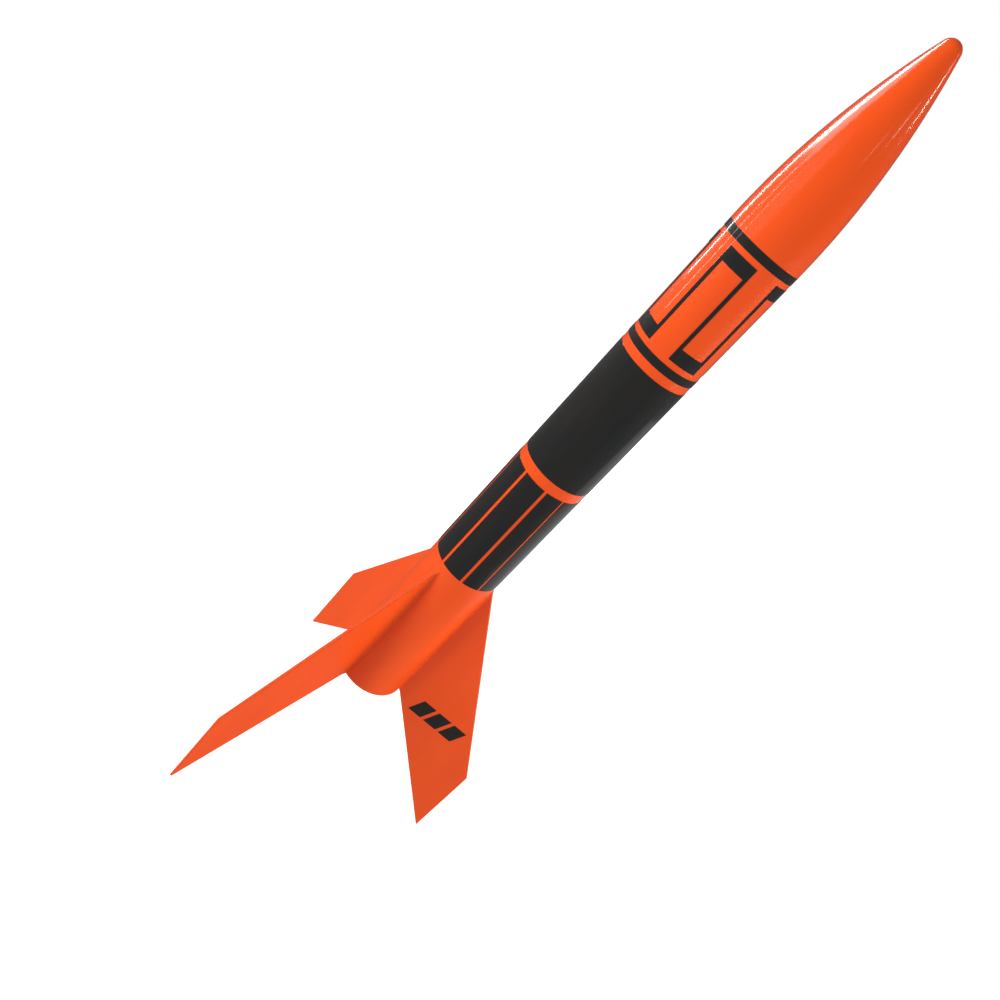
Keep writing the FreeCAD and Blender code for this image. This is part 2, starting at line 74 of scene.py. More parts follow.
def add_camera():
    data = bpy.data.cameras.new("camera")
    data.lens = CAMERA_LENS
    data.shift_x, data.shift_y = CAMERA_SHIFT
    data.clip_start = 0.01
    camera = bpy.data.objects.new("camera", data)
    bpy.context.scene.collection.objects.link(camera)
    place = Matrix.Translation((
        CAMERA_FROM_AXIS * math.cos(CAMERA_AZIMUTH),
        CAMERA_FROM_AXIS * math.sin(CAMERA_AZIMUTH),
        CAMERA_HEIGHT,
    ))
    turn = Matrix.Rotation(CAMERA_HEADING - math.pi / 2, 4, "Z")
    tilt = Matrix.Rotation(CAMERA_PITCH + math.pi / 2, 4, "X")
    roll = Matrix.Rotation(CAMERA_ROLL, 4, "Z")
    camera.matrix_world = place @ turn @ tilt @ roll
    bpy.context.scene.camera = camera


SKY_SEEN = 1.0
SKY_DIFFUSE = 0.40
SKY_GLOSS = 0.09
FLOOR_SEEN = 0.88
FLOOR_DIFFUSE = 0.85
FLOOR_GLOSS = 0.10
FLOOR_HALF = 6.0
FLOOR_Z = -0.045


def by_ray(tree, seen, diffuse, gloss):
    """A strength that differs between what the camera sees, what lights the object and what it reflects."""
    nodes, links = tree.nodes, tree.links
    path = nodes.new("ShaderNodeLightPath")
    reflected = nodes.new("ShaderNodeMix")
    reflected.inputs[2].default_value = diffuse
    reflected.inputs[3].default_value = gloss
    result = nodes.new("ShaderNodeMix")
    result.inputs[3].default_value = seen
    links.new(path.outputs["Is Glossy Ray"], reflected.inputs[0])
    links.new(reflected.outputs[0], result.inputs[2])
    links.new(path.outputs["Is Camera Ray"], result.inputs[0])
    return result.outputs[0]


def add_world():
    """White where it is seen, softer where it lights, and dim in reflections so that gloss has dark edges."""
    world = bpy.data.worlds.new("studio")
    bpy.context.scene.world = world
    world.use_nodes = True
    background = world.node_tree.nodes["Background"]
    background.inputs["Color"].default_value = WHITE
    strength = by_ray(world.node_tree, SKY_SEEN, SKY_DIFFUSE, SKY_GLOSS)
    world.node_tree.links.new(strength, background.inputs["Strength"])


def add_light(name, azimuth, distance, height, size, power, faces_up=False, is_key=False):
    """A soft box at an azimuth from the camera's, upright and facing the axis, or facing up.

    A key only lights the object, and the others are only reflected in it. Sizes are width and height.
    """
    data = bpy.data.lights.new(name, "AREA")
    data.shape = "RECTANGLE"
    data.size, data.size_y = size
    data.energy = power
    light = bpy.data.objects.new(name, data)
    bpy.context.scene.collection.objects.link(light)
    angle = CAMERA_AZIMUTH + math.radians(azimuth)
    place = Matrix.Translation((distance * math.cos(angle), distance * math.sin(angle), height))
    turn = Matrix.Rotation(angle + math.pi / 2, 4, "Z")
    tilt = Matrix.Rotation(math.pi if faces_up else math.pi / 2, 4, "X")
    light.matrix_world = place @ turn @ tilt
    light.visible_camera = False
    light.visible_glossy = not is_key
    light.visible_diffuse = is_key


def add_lights():
    """Reflected boxes first, then the keys that light the object.

    The boxes give the streaks down the nose's left side with a core and a halo round them, the glints
    beside its tip, and a low card on the right. The keys are one main light and two weaker fills.
    """
    add_light("streak", -118, 0.60, 0.50, (0.034, 0.76), 1.9)
    add_light("streak_second", -88, 0.60, 0.22, (0.012, 0.28), 0.16)
    add_light("streak_third", -69, 0.60, 0.24, (0.008, 0.20), 0.06)
    add_light("core", -113, 0.60, 0.50, (0.15, 0.27), 1.6)
    add_light("halo", -95, 0.60, 0.50, (0.34, 0.27), 0.8)
    add_light("glint", 104, 0.60, 0.57, (0.016, 0.13), 0.30)
    add_light("glint_second", 66, 0.60, 0.56, (0.010, 0.08), 0.06)
    add_light("glint_third", 40, 0.60, 0.50, (0.008, 0.06), 0.02)
    add_light("card", 128, 0.32, 0.004, (0.30, 0.44), 0.15, faces_up=True)
    add_light("key", -52, 0.70, 0.30, (0.4, 0.4), 3.7, is_key=True)
    add_light("fill", 95, 0.45, 0.06, (0.3, 0.3), 2.0, is_key=True)
    add_light("fill_back", 200, 0.70, 0.35, (0.4, 0.4), 2.5, is_key=True)


def add_floor():
    """A pale plane, just below the motor's furthest travel.

    It is bright to the camera, and even and dimmer as a light and in reflections.
    """
    mesh = bpy.data.meshes.new("floor")
    half = FLOOR_HALF
    outline = ((-half, -half), (half, -half), (half, half), (-half, half))
    mesh.from_pydata([(x, y, FLOOR_Z) for x, y in outline], [], [(0, 1, 2, 3)])
    floor = bpy.data.objects.new("floor", mesh)
    bpy.context.scene.collection.objects.link(floor)
    finish = Finish("floor_paper", roughness=0.9)
    grain = finish.noise(0.01, detail=3)
    finish.colour(grain, (0.50, 0.50, 0.50), (0.52, 0.52, 0.52))
    finish.shader.inputs["Emission Color"].default_value = WHITE
    finish.shader.inputs["Emission Strength"].default_value = FLOOR_SEEN
    glow = finish.tree.nodes.new("ShaderNodeEmission")
    finish.link(by_ray(finish.tree, FLOOR_SEEN, FLOOR_DIFFUSE, FLOOR_GLOSS), glow.inputs["Strength"])
    split = finish.tree.nodes.new("ShaderNodeMixShader")
    finish.link(finish.tree.nodes.new("ShaderNodeLightPath").outputs["Is Camera Ray"], split.inputs[0])
    finish.link(glow.outputs[0], split.inputs[1])
    finish.link(finish.shader.outputs[0], split.inputs[2])
    finish.link(split.outputs[0], finish.tree.nodes["Material Output"].inputs["Surface"])
    mesh.materials.append(finish.material)


# ---- finishes -----------------------------------------------------------------------------------


class Finish:
    """A procedural material. Lengths are in metres, in the coordinates of the piece's own mesh."""

    def __init__(self, name, roughness, metallic=0.0, **sockets):
        self.material = bpy.data.materials.new(name)
        self.material.use_nodes = True
        self.tree = self.material.node_tree
        self.shader = self.tree.nodes["Principled BSDF"]
        self.shader.inputs["Roughness"].default_value = roughness
        self.shader.inputs["Metallic"].default_value = metallic
        for socket, value in sockets.items():
            self.shader.inputs[socket.replace("_", " ")].default_value = value
        self.place = self.tree.nodes.new("ShaderNodeTexCoord").outputs["Object"]
        self.height = None

    def link(self, source, target):
        self.tree.links.new(source, target)

    def math(self, operation, first, second=0.0):
        node = self.tree.nodes.new("ShaderNodeMath")
        node.operation = operation
        for socket, value in zip(node.inputs, (first, second)):
            if isinstance(value, (int, float)):
                socket.default_value = value
            else:
                self.link(value, socket)
        return node.outputs[0]

    def axes(self):
        node = self.tree.nodes.new("ShaderNodeSeparateXYZ")
        self.link(self.place, node.inputs[0])
        return node.outputs

    def noise(self, size, detail=4.0, stretch=(1.0, 1.0, 1.0), roughness=0.5):
        """Soft noise, 0 to 1, whose features are about this size, longer along stretched axes."""
        mapping = self.tree.nodes.new("ShaderNodeMapping")
        mapping.inputs["Scale"].default_value = [1.0 / amount for amount in stretch]
        self.link(self.place, mapping.inputs["Vector"])
        node = self.tree.nodes.new("ShaderNodeTexNoise")
        node.inputs["Scale"].default_value = 1.0 / size
        node.inputs["Detail"].default_value = detail
        node.inputs["Roughness"].default_value = roughness
        self.link(mapping.outputs[0], node.inputs["Vector"])
        return node.outputs["Fac"]

    def cells(self, size):
        """The distance from the middle of the nearest of many cells of about this size."""
        node = self.tree.nodes.new("ShaderNodeTexVoronoi")
        node.inputs["Scale"].default_value = 1.0 / size
        self.link(self.place, node.inputs["Vector"])
        return node.outputs["Distance"]

    def spread(self, factor, low, high, start=0.0, end=1.0):
        """Maps start..end of a factor to low..high."""
        node = self.tree.nodes.new("ShaderNodeMapRange")
        for socket, value in zip(node.inputs[1:5], (start, end, low, high)):
            socket.default_value = value
        self.link(factor, node.inputs[0])
        return node.outputs[0]

    def winding(self, pitch, width):
        """1 along a thin helical seam round the axis, 0 elsewhere."""
        x, y, z = self.axes()[:3]
        turn = self.math("MULTIPLY", self.math("ARCTAN2", y, x), pitch / math.tau)
        along = self.math("PINGPONG", self.math("ADD", z, turn), pitch / 2)
        return self.spread(along, 1.0, 0.0, 0.0, width)

    def mix(self, factor, first, second):
        node = self.tree.nodes.new("ShaderNodeMix")
        node.data_type = "RGBA"
        self.link(factor, node.inputs["Factor"])
        for socket, value in ((node.inputs[6], first), (node.inputs[7], second)):
            if isinstance(value, tuple):
                socket.default_value = (*value, 1.0)
            else:
                self.link(value, socket)
        return node.outputs[2]

    def colour(self, factor, first, second):
        self.link(self.mix(factor, first, second), self.shader.inputs["Base Color"])

    def roughen(self, factor, low, high, start=0.3, end=0.7):
        self.link(self.spread(factor, low, high, start, end), self.shader.inputs["Roughness"])

    def bump(self, factor, depth):
        """Raises the surface by a factor times a depth, on top of any earlier bump."""
        node = self.tree.nodes.new("ShaderNodeBump")
        node.inputs["Distance"].default_value = depth
        self.link(factor, node.inputs["Height"])
        if self.height is not None:
            self.link(self.height, node.inputs["Normal"])
        self.height = node.outputs["Normal"]
        self.link(self.height, self.shader.inputs["Normal"])


ORANGE = (0.89, 0.088, 0.008)
ORANGE_DEEP = (0.85, 0.078, 0.006)
BLACK_WARM = (0.021, 0.018, 0.015)
BLACK_COOL = (0.014, 0.016, 0.018)


def orange_plastic(name, roughness, coat, specular=0.5, coat_roughness=0.04):
    """Moulded plastic: an even colour with faint flow marks and a gloss that varies softly."""
    finish = Finish(
        name, roughness, Specular_IOR_Level=specular, Coat_Weight=coat, Coat_Roughness=coat_roughness
    )
    flow = finish.noise(0.012, detail=3, stretch=(1.0, 1.0, 3.5))
    finish.colour(finish.spread(flow, 0.0, 1.0, 0.35, 0.7), ORANGE, ORANGE_DEEP)
    finish.roughen(finish.noise(0.012, detail=2), roughness * 0.9, roughness * 1.2, 0.2, 0.8)
    finish.bump(finish.noise(0.012, detail=1), 0.000004)
    return finish.material


def orange_card():
    """Printed and varnished tube: fine paper grain with the faint seam of the spiral winding."""
    finish = Finish("orange_tube", 0.3, Specular_IOR_Level=0.2, Coat_Weight=0.7, Coat_Roughness=0.04)
    grain = finish.noise(0.004, detail=4, stretch=(1.0, 1.0, 5.0))
    finish.colour(finish.spread(grain, 0.0, 1.0, 0.3, 0.75), ORANGE, ORANGE_DEEP)
    finish.roughen(grain, 0.22, 0.32)
    finish.bump(finish.noise(0.0007, detail=3), 0.0000015)
    finish.bump(finish.winding(0.045, 0.0005), -0.00001)
    return finish.material


def black_film():
    """Thin black wrap with fine streaks of warmer and cooler black along the tube."""
    finish = Finish("black_decal", 0.4, Specular_IOR_Level=0.2, Coat_Weight=0.7, Coat_Roughness=0.05)
    streak = finish.noise(0.003, detail=5, stretch=(1.0, 1.0, 9.0), roughness=0.6)
    finish.colour(finish.spread(streak, 0.0, 1.0, 0.35, 0.65), BLACK_COOL, BLACK_WARM)
    finish.roughen(streak, 0.28, 0.42)
    finish.bump(finish.noise(0.0012, detail=3), 0.000006)
    return finish.material


def paper(name, light, dark, grain_size=0.0012, roughness=0.75, seam=0.0):
    """Fibrous paper or card, with a helical seam if it is wound."""
    finish = Finish(name, roughness)
    fibre = finish.noise(grain_size, detail=6, stretch=(1.0, 1.0, 2.5), roughness=0.65)
    colour = finish.mix(finish.spread(fibre, 0.0, 1.0, 0.3, 0.7), light, dark)
    if seam:
        edge = finish.winding(seam, 0.0004)
        colour = finish.mix(finish.spread(edge, 0.0, 0.6), colour, dark)
        finish.bump(edge, -0.00004)
    finish.link(colour, finish.shader.inputs["Base Color"])
    finish.roughen(fibre, roughness * 0.9, min(1.0, roughness * 1.15))
    finish.bump(fibre, 0.00002)
    return finish.material


def granular(name, light, dark, grain_size, depth, roughness=0.85):
    """Pressed clay, propellant or powder."""
    finish = Finish(name, roughness)
    grains = finish.cells(grain_size)
    speckle = finish.noise(grain_size * 1.5, detail=5, roughness=0.7)
    finish.colour(finish.spread(speckle, 0.0, 1.0, 0.35, 0.65), light, dark)
    finish.roughen(speckle, roughness * 0.85, min(1.0, roughness * 1.1))
    finish.bump(grains, depth)
    return finish.material


def spring_steel():
    finish = Finish("spring_steel", 0.32, metallic=1.0, Anisotropic=0.4)
    brushed = finish.noise(0.0003, detail=4, stretch=(1.0, 1.0, 30.0))
    stain = finish.noise(0.006, detail=4)
    finish.colour(finish.spread(stain, 0.0, 1.0, 0.35, 0.7), (0.52, 0.52, 0.54), (0.38, 0.37, 0.36))
    finish.roughen(brushed, 0.25, 0.42)
    finish.bump(brushed, 0.000004)
    return finish.material


def film(name, light, dark, roughness, crease, **sockets):
    """Thin plastic film or tissue with creases."""
    finish = Finish(name, roughness, **sockets)
    folds = finish.noise(crease, detail=6, roughness=0.6)
    finish.colour(finish.spread(folds, 0.0, 1.0, 0.3, 0.7), light, dark)
    finish.roughen(folds, roughness * 0.8, min(1.0, roughness * 1.25))
    finish.bump(folds, crease * 0.15)
    return finish.material


def braid(name, light, dark, size):
    """Thread or covered elastic: fine crossing ribs."""
    finish = Finish(name, 0.8, Sheen_Weight=0.3)
    x, y, z = finish.axes()[:3]
    across = finish.math("ADD", finish.math("ADD", x, y), z)
    back = finish.math("SUBTRACT", finish.math("SUBTRACT", x, y), z)
    ribs = finish.math(
        "MULTIPLY",
        finish.math("PINGPONG", across, size),
        finish.math("PINGPONG", back, size),
    )
    rib = finish.spread(ribs, 0.0, 1.0, 0.0, size * size)
    fuzz = finish.noise(size * 2, detail=4)
    finish.colour(finish.math("MULTIPLY", rib, fuzz), dark, light)
    finish.roughen(fuzz, 0.7, 0.95)
    finish.bump(rib, size * 0.4)
    return finish.material


def finishes():
    """One material for each of the record's material slots."""
    return {
        "orange_tube": orange_card(),
        "orange_fins": orange_plastic("orange_fins", 0.3, 0.0, specular=0.3),
        "orange_nose": orange_plastic("orange_nose", 0.2, 0.8, specular=0.2, coat_roughness=0.14),
        "black_decal": black_film(),
        "lug_paper": paper("lug_paper", (0.86, 0.84, 0.80), (0.74, 0.71, 0.66), seam=0.011),
        "kraft_tube": paper("kraft_tube", (0.46, 0.31, 0.18), (0.34, 0.22, 0.12), seam=0.024),
        "kraft_ring": paper("kraft_ring", (0.50, 0.35, 0.21), (0.36, 0.24, 0.14)),
        "band_film": film("band_film", (0.72, 0.72, 0.70), (0.60, 0.60, 0.58), 0.35, 0.002),
        "spring_steel": spring_steel(),
        "motor_paper": paper("motor_paper", (0.66, 0.50, 0.33), (0.52, 0.38, 0.24), seam=0.03),
        "motor_clay": granular("motor_clay", (0.56, 0.54, 0.50), (0.42, 0.40, 0.37), 0.0005, 0.00004),
        "motor_propellant": granular(
            "motor_propellant", (0.05, 0.05, 0.05), (0.02, 0.02, 0.02), 0.0006, 0.00006
        ),
        "motor_delay": granular("motor_delay", (0.30, 0.28, 0.25), (0.18, 0.17, 0.15), 0.0006, 0.00005),
        "motor_powder": granular("motor_powder", (0.07, 0.07, 0.07), (0.02, 0.02, 0.02), 0.0009, 0.0002),
        "wadding_tissue": film("wadding_tissue", (0.88, 0.90, 0.90), (0.70, 0.75, 0.76), 0.9, 0.0016),
        "canopy_film": film("canopy_film", (0.80, 0.06, 0.04), (0.60, 0.04, 0.03), 0.35, 0.004),
        "line_thread": braid("line_thread", (0.90, 0.88, 0.84), (0.62, 0.60, 0.56), 0.0002),
        "elastic_cord": braid("elastic_cord", (0.88, 0.86, 0.80), (0.60, 0.58, 0.53), 0.00035),
        "anchor_paper": paper("anchor_paper", (0.90, 0.88, 0.83), (0.80, 0.77, 0.70)),
        "cap_plastic": orange_plastic("cap_plastic", 0.3, 0.0),
    }


def dress_nodes(materials):
    """Gives every CAD node the finish of its own material slot."""
    for subpart in frame["record"]["subparts"]:
        slots = frame["nodes"][subpart["node"]].data.materials
        slots.clear()
        slots.append(materials[subpart["material_slot"]])


# ---- mesh tools ---------------------------------------------------------------------------------


SHARP_ANGLE = math.radians(35)


def add_piece(name, mesh, slot_name):
    """A smooth-shaded piece in the part's frame, with the finish of a material slot."""
    for polygon in mesh.polygons:
        polygon.use_smooth = True
    mesh.set_sharp_from_angle(angle=SHARP_ANGLE)
    mesh.materials.append(materials[slot_name])
    piece = bpy.data.objects.new(name, mesh)
    bpy.context.scene.collection.objects.link(piece)
    return piece


def finished_mesh(name, shape):
    """A mesh from a bmesh, with its faces pointing outwards."""
    bmesh.ops.recalc_face_normals(shape, faces=shape.faces)
    mesh = bpy.data.meshes.new(name)
    shape.to_mesh(mesh)
    shape.free()
    return mesh


def sweep(shape, path, section, closed=False):
    """Sweeps a section of (across, up) points along a path of vectors, turning as little as it can."""
    count = len(path)
    rings = []
    normal = None
    for number, point in enumerate(path):
        before = path[number - 1] if closed or number else point
        after = path[(number + 1) % count] if closed or number < count - 1 else point
        heading = (after - before).normalized()
        if normal is None:
            normal = heading.orthogonal().normalized()
        normal = (normal - heading * normal.dot(heading)).normalized()
        side = heading.cross(normal)
        rings.append([shape.verts.new(point + normal * across + side * up) for across, up in section])
    pairs = list(zip(rings, rings[1:])) + ([(rings[-1], rings[0])] if closed else [])
    for first, second in pairs:
        for step in range(len(section)):
            after = (step + 1) % len(section)
            shape.faces.new((first[step], first[after], second[after], second[step]))
    if not closed:
        shape.faces.new(rings[0])
        shape.faces.new(rings[-1])


def round_section(radius, sides=12):
    angles = (math.tau * step / sides for step in range(sides))
    return [(radius * math.cos(angle), radius * math.sin(angle)) for angle in angles]


def nurbs(name, points, radius=0.0, resolution=6):
    """A smooth open curve with these control points, as a cord of this radius or as a bare line."""
    curve = bpy.data.curves.new(name, "CURVE")
    curve.dimensions = "3D"
    curve.bevel_depth = radius
    curve.bevel_resolution = 3
    curve.use_fill_caps = True
    spline = curve.splines.new("NURBS")
    spline.points.add(len(points) - 1)
    for place, point in zip(spline.points, points):
        place.co = (*point, 1.0)
    spline.order_u = 3
    spline.use_endpoint_u = True
    spline.resolution_u = resolution
    piece = bpy.data.objects.new(name, curve)
    bpy.context.scene.collection.objects.link(piece)
    return piece


def line_of(points):
    """The points along a smooth curve with these control points."""
    route = nurbs("route", points)
    bpy.context.view_layer.update()
    mesh = bpy.data.meshes.new_from_object(route)
    line = [vertex.co.copy() for vertex in mesh.vertices]
    bpy.data.objects.remove(route)
    bpy.data.meshes.remove(mesh)
    return line


def polar(radius, angle, z):
    return Vector((radius * math.cos(angle), radius * math.sin(angle), z))


# ---- engine hook, one strip with rounded bends ---------------------------------------------------

HOOK_THICKNESS = 0.6 * MM
HOOK_CORNER = 0.12 * MM
HOOK_LIP_REACH = 2.2 * MM
HOOK_TAB = (3.0 * MM, 5.6 * MM)
HOOK_BEND = 0.9 * MM
HOOK_BEND_STEPS = 6
HOOK_STEP = 1.5 * MM


def rounded_route(points, radius, steps):
    """Straight runs joined by arcs, cut into short steps."""
    route = [points[0]]
    for before, corner, after in zip(points, points[1:], points[2:]):
        inward = (corner - before).normalized()
        outward = (after - corner).normalized()
        half_turn = inward.angle(outward) / 2
        toward = (outward - inward).normalized()
        centre = corner + toward * (radius / math.cos(half_turn))
        for step in range(steps + 1):
            turn = half_turn * (2 * step / steps - 1)
            middle = (inward + outward).normalized()
            route.append(centre + radius * (middle * math.sin(turn) - toward * math.cos(turn)))
    route.append(points[-1])
    fine = [route[0]]
    for point in route[1:]:
        gap = point - fine[-1]
        pieces = max(1, round(gap.length / HOOK_STEP))
        start = fine[-1]
        fine += [start + gap * (piece / pieces) for piece in range(1, pieces + 1)]
    return fine


def add_hook():
    """The spring strip with rounded bends, as one piece."""
    low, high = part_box("engine_hook")
    half = HOOK_THICKNESS / 2
    tang_z = high.z - half
    leaf_y = high.y - half
    lip_y = leaf_y - HOOK_LIP_REACH + half
    lip_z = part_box("motor_casing")[0].z - HOOK_THICKNESS
    corners = [
        Vector((0.0, low.y, tang_z)),
        Vector((0.0, leaf_y, tang_z)),
        Vector((0.0, leaf_y, lip_z)),
        Vector((0.0, lip_y, lip_z)),
        Vector((0.0, lip_y + HOOK_TAB[0], lip_z - HOOK_TAB[1])),
    ]
    wide = high.x
    cut = HOOK_CORNER
    section = [
        (-wide, -half + cut), (-wide + cut, -half), (wide - cut, -half), (wide, -half + cut),
        (wide, half - cut), (wide - cut, half), (-wide + cut, half), (-wide, half - cut),
    ]
    shape = bmesh.new()
    rings = []
    route = rounded_route(corners, HOOK_BEND, HOOK_BEND_STEPS)
    for number, point in enumerate(route):
        before = route[max(number - 1, 0)]
        after = route[min(number + 1, len(route) - 1)]
        heading = (after - before).normalized()
        up = Vector((1.0, 0.0, 0.0)).cross(heading)
        rings.append([shape.verts.new(point + Vector((x, 0.0, 0.0)) + up * rise) for x, rise in section])
    for first, second in zip(rings, rings[1:]):
        for step in range(len(section)):
            after = (step + 1) % len(section)
            shape.faces.new((first[step], first[after], second[after], second[step]))
    shape.faces.new(rings[0])
    shape.faces.new(rings[-1])
    hook = add_piece("engine_hook_spring", finished_mesh("engine_hook_spring", shape), "spring_steel")
    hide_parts("engine_hook")
    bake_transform(hook)


# ---- shock cord: one cord from its anchor through its coil to the nose cone's eyelet ---------------

CORD_RADIUS = 0.8 * MM
COIL_POINTS_PER_TURN = 16
COIL_FIRST_ANGLE = math.radians(135)
COIL_LAST_ANGLE = math.radians(150 + 5 * 360)
COIL_PITCH = 1.62 * MM
ANCHOR_END = [
    (0.0, 0.01045, 0.1910),
    (0.0, 0.01045, 0.1926),
    (-0.0009, 0.0104, 0.1944),
    (-0.0036, 0.0094, 0.1955),
]
NOSE_END = [
    (-0.0084, 0.0010, 0.2046),
    (-0.0076, -0.0020, 0.2058),
    (-0.0050, -0.0034, 0.2076),
    (-0.0020, -0.0024, 0.2102),
    (-0.0004, -0.0006, 0.2134),
    (0.0, 0.0, 0.2164),
    (0.0, 0.0, 0.21835),
]
EYELET_WIRE_RADIUS = 0.9 * MM
KNOT_TURNS = 2.5
KNOT_LOW_Z = 0.2142
KNOT_STEPS = 24
KNOT_LOOP_SQUEEZE = 0.95
KNOT_TURN_SQUEEZE = 0.8


def coil_points():
    """The coil's turns, rising from the anchor's side to the nose's."""
    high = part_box("shock_cord_coil")[1]
    radius = high.x - CORD_RADIUS
    turn = COIL_LAST_ANGLE - COIL_FIRST_ANGLE
    steps = round(turn / math.tau * COIL_POINTS_PER_TURN)
    top_z = high.z - CORD_RADIUS
    base_z = top_z - COIL_PITCH * turn / math.tau
    return [
        polar(radius, COIL_FIRST_ANGLE + turn * step / steps, base_z + (top_z - base_z) * step / steps)
        for step in range(steps + 1)
    ]


def add_shock_cord():
    """The whole cord as one piece. Its run above the coil leads to the nose cone's eyelet, where its knot
    rides.
    """
    line = line_of(ANCHOR_END + coil_points() + NOSE_END)
    shape = bmesh.new()
    sweep(shape, line, round_section(CORD_RADIUS))
    cord = add_piece("shock_cord", finished_mesh("shock_cord", shape), "elastic_cord")
    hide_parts("shock_cord_anchor_run", "shock_cord_coil", "shock_cord_nose_run")
    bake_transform(cord)
    knot = add_knot()


def add_knot():
    """The cord's end: a loop through the eyelet, and two and a half turns round the cord below it."""
    shape = bmesh.new()
    wire_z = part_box("nose_base_cap")[0].z + EYELET_WIRE_RADIUS
    loop_radius = EYELET_WIRE_RADIUS + CORD_RADIUS
    loop = []
    for step in range(KNOT_STEPS):
        angle = math.tau * step / KNOT_STEPS
        loop.append(Vector((0.0, loop_radius * math.cos(angle), wire_z + loop_radius * math.sin(angle))))
    sweep(shape, loop, round_section(CORD_RADIUS * KNOT_LOOP_SQUEEZE), closed=True)
    turns = []
    for step in range(round(KNOT_TURNS * KNOT_STEPS) + 1):
        rise = 2 * CORD_RADIUS * KNOT_TURN_SQUEEZE * step / KNOT_STEPS
        turns.append(polar(2 * CORD_RADIUS, math.tau * step / KNOT_STEPS, KNOT_LOW_Z + rise))
    sweep(shape, turns, round_section(CORD_RADIUS * KNOT_TURN_SQUEEZE))
    knot = add_piece("shock_cord_knot", finished_mesh("shock_cord_knot", shape), "elastic_cord")
    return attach(knot, "nose")


# ---- parachute and wadding ------------------------------------------------------------------------

CANOPY_ACROSS = 0.305
CANOPY_AREA = CANOPY_ACROSS ** 2 * math.sqrt(3) / 2
CANOPY_CORE_RADIUS = 0.9 * MM
CANOPY_FILL = 0.985
CANOPY_STEPS_PER_TURN = 36
CANOPY_ROWS = 12
CANOPY_END_GAP = 1.3 * MM
CANOPY_RAGGED = 1.2 * MM
CANOPY_FOLDS = (0.045, 0.03)
CANOPY_SLACK = 0.05
CANOPY_PINCH = 0.16
CANOPY_PINCH_FROM = 0.75
CRUMPLE_LENGTH = 12 * MM
LINE_COUNT = 6
LINE_RADIUS = 0.275 * MM
LINE_SPACING = 0.58 * MM
LINE_TURNS = 4.0
LINE_POINTS_PER_TURN = 14
LINE_TAIL = 10 * MM
LINE_TAIL_TURN = 0.05


def crumple(angle, z, size, seed):
    """Smooth noise from -1 to 1 round the axis and along it."""
    place = Vector((math.cos(angle) * size, math.sin(angle) * size, z / CRUMPLE_LENGTH * size + seed))
    return noise.noise(place)


def add_canopy():
    """The canopy's film rolled up: one long sheet in a spiral, as long as the canopy's area asks for."""
    low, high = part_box("parachute_canopy")
    height = high.z - low.z
    outer = high.x * CANOPY_FILL
    pitch = math.pi * (outer ** 2 - CANOPY_CORE_RADIUS ** 2) * height / CANOPY_AREA
    turns = (outer - CANOPY_CORE_RADIUS) / pitch
    columns = round(turns * CANOPY_STEPS_PER_TURN)
    shape = bmesh.new()
    grid = []
    for column in range(columns + 1):
        angle = math.tau * column / CANOPY_STEPS_PER_TURN
        radius = CANOPY_CORE_RADIUS + (outer - CANOPY_CORE_RADIUS) * column / columns
        ragged = CANOPY_RAGGED * crumple(angle * 0.37, radius, 1.3, 5.0)
        strip = []
        for row in range(CANOPY_ROWS + 1):
            share = row / CANOPY_ROWS
            from_middle = abs(2 * share - 1)
            z = low.z + CANOPY_END_GAP + (height - 2 * CANOPY_END_GAP) * share + ragged * from_middle
            broad = CANOPY_FOLDS[0] * crumple(angle, z, 2.1, 0.0)
            fine = CANOPY_FOLDS[1] * crumple(angle, z, 5.0, 9.0)
            folds = broad + fine - CANOPY_SLACK
            ends = CANOPY_PINCH * max(0.0, from_middle - CANOPY_PINCH_FROM) / (1 - CANOPY_PINCH_FROM)
            strip.append(shape.verts.new(polar(radius * (1.0 + folds - ends * share), angle, z)))
        grid.append(strip)
    for first, second in zip(grid, grid[1:]):
        for row in range(CANOPY_ROWS):
            shape.faces.new((first[row], second[row], second[row + 1], first[row + 1]))
    mesh = bpy.data.meshes.new("canopy_roll")
    shape.to_mesh(mesh)
    shape.free()
    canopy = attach(add_piece("canopy_roll", mesh, "canopy_film"), "airframe")
    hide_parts("parachute_canopy")


def add_lines():
    """Six shroud lines, wound side by side round the rolled canopy."""
    low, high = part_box("parachute_lines")
    radius = high.x - LINE_RADIUS
    pitch = LINE_COUNT * LINE_SPACING
    drop = pitch * LINE_TURNS
    top_z = (low.z + high.z + drop) / 2
    steps = round(LINE_TURNS * LINE_POINTS_PER_TURN)
    for number in range(LINE_COUNT):
        first = math.tau * number / LINE_COUNT
        points = [polar(radius - LINE_RADIUS, first - LINE_TAIL_TURN, top_z + LINE_TAIL)]
        points.append(polar(radius, first - LINE_TAIL_TURN, top_z + LINE_TAIL / 2))
        points.append(polar(radius, first, top_z + 2 * LINE_RADIUS))
        for step in range(1, steps):
            angle = first + math.tau * step / LINE_POINTS_PER_TURN
            points.append(polar(radius, angle, top_z - pitch * step / LINE_POINTS_PER_TURN))
        last = first + math.tau * LINE_TURNS
        points.append(polar(radius, last, top_z - drop - 2 * LINE_RADIUS))
        points.append(polar(radius, last + LINE_TAIL_TURN, top_z - drop - LINE_TAIL / 2))
        points.append(polar(radius - LINE_RADIUS, last + LINE_TAIL_TURN, top_z - drop - LINE_TAIL))
        line = nurbs("parachute_line_" + str(number + 1), points, LINE_RADIUS, resolution=3)
        line.data.materials.append(materials["line_thread"])
        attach(line, "airframe")
    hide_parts("parachute_lines")


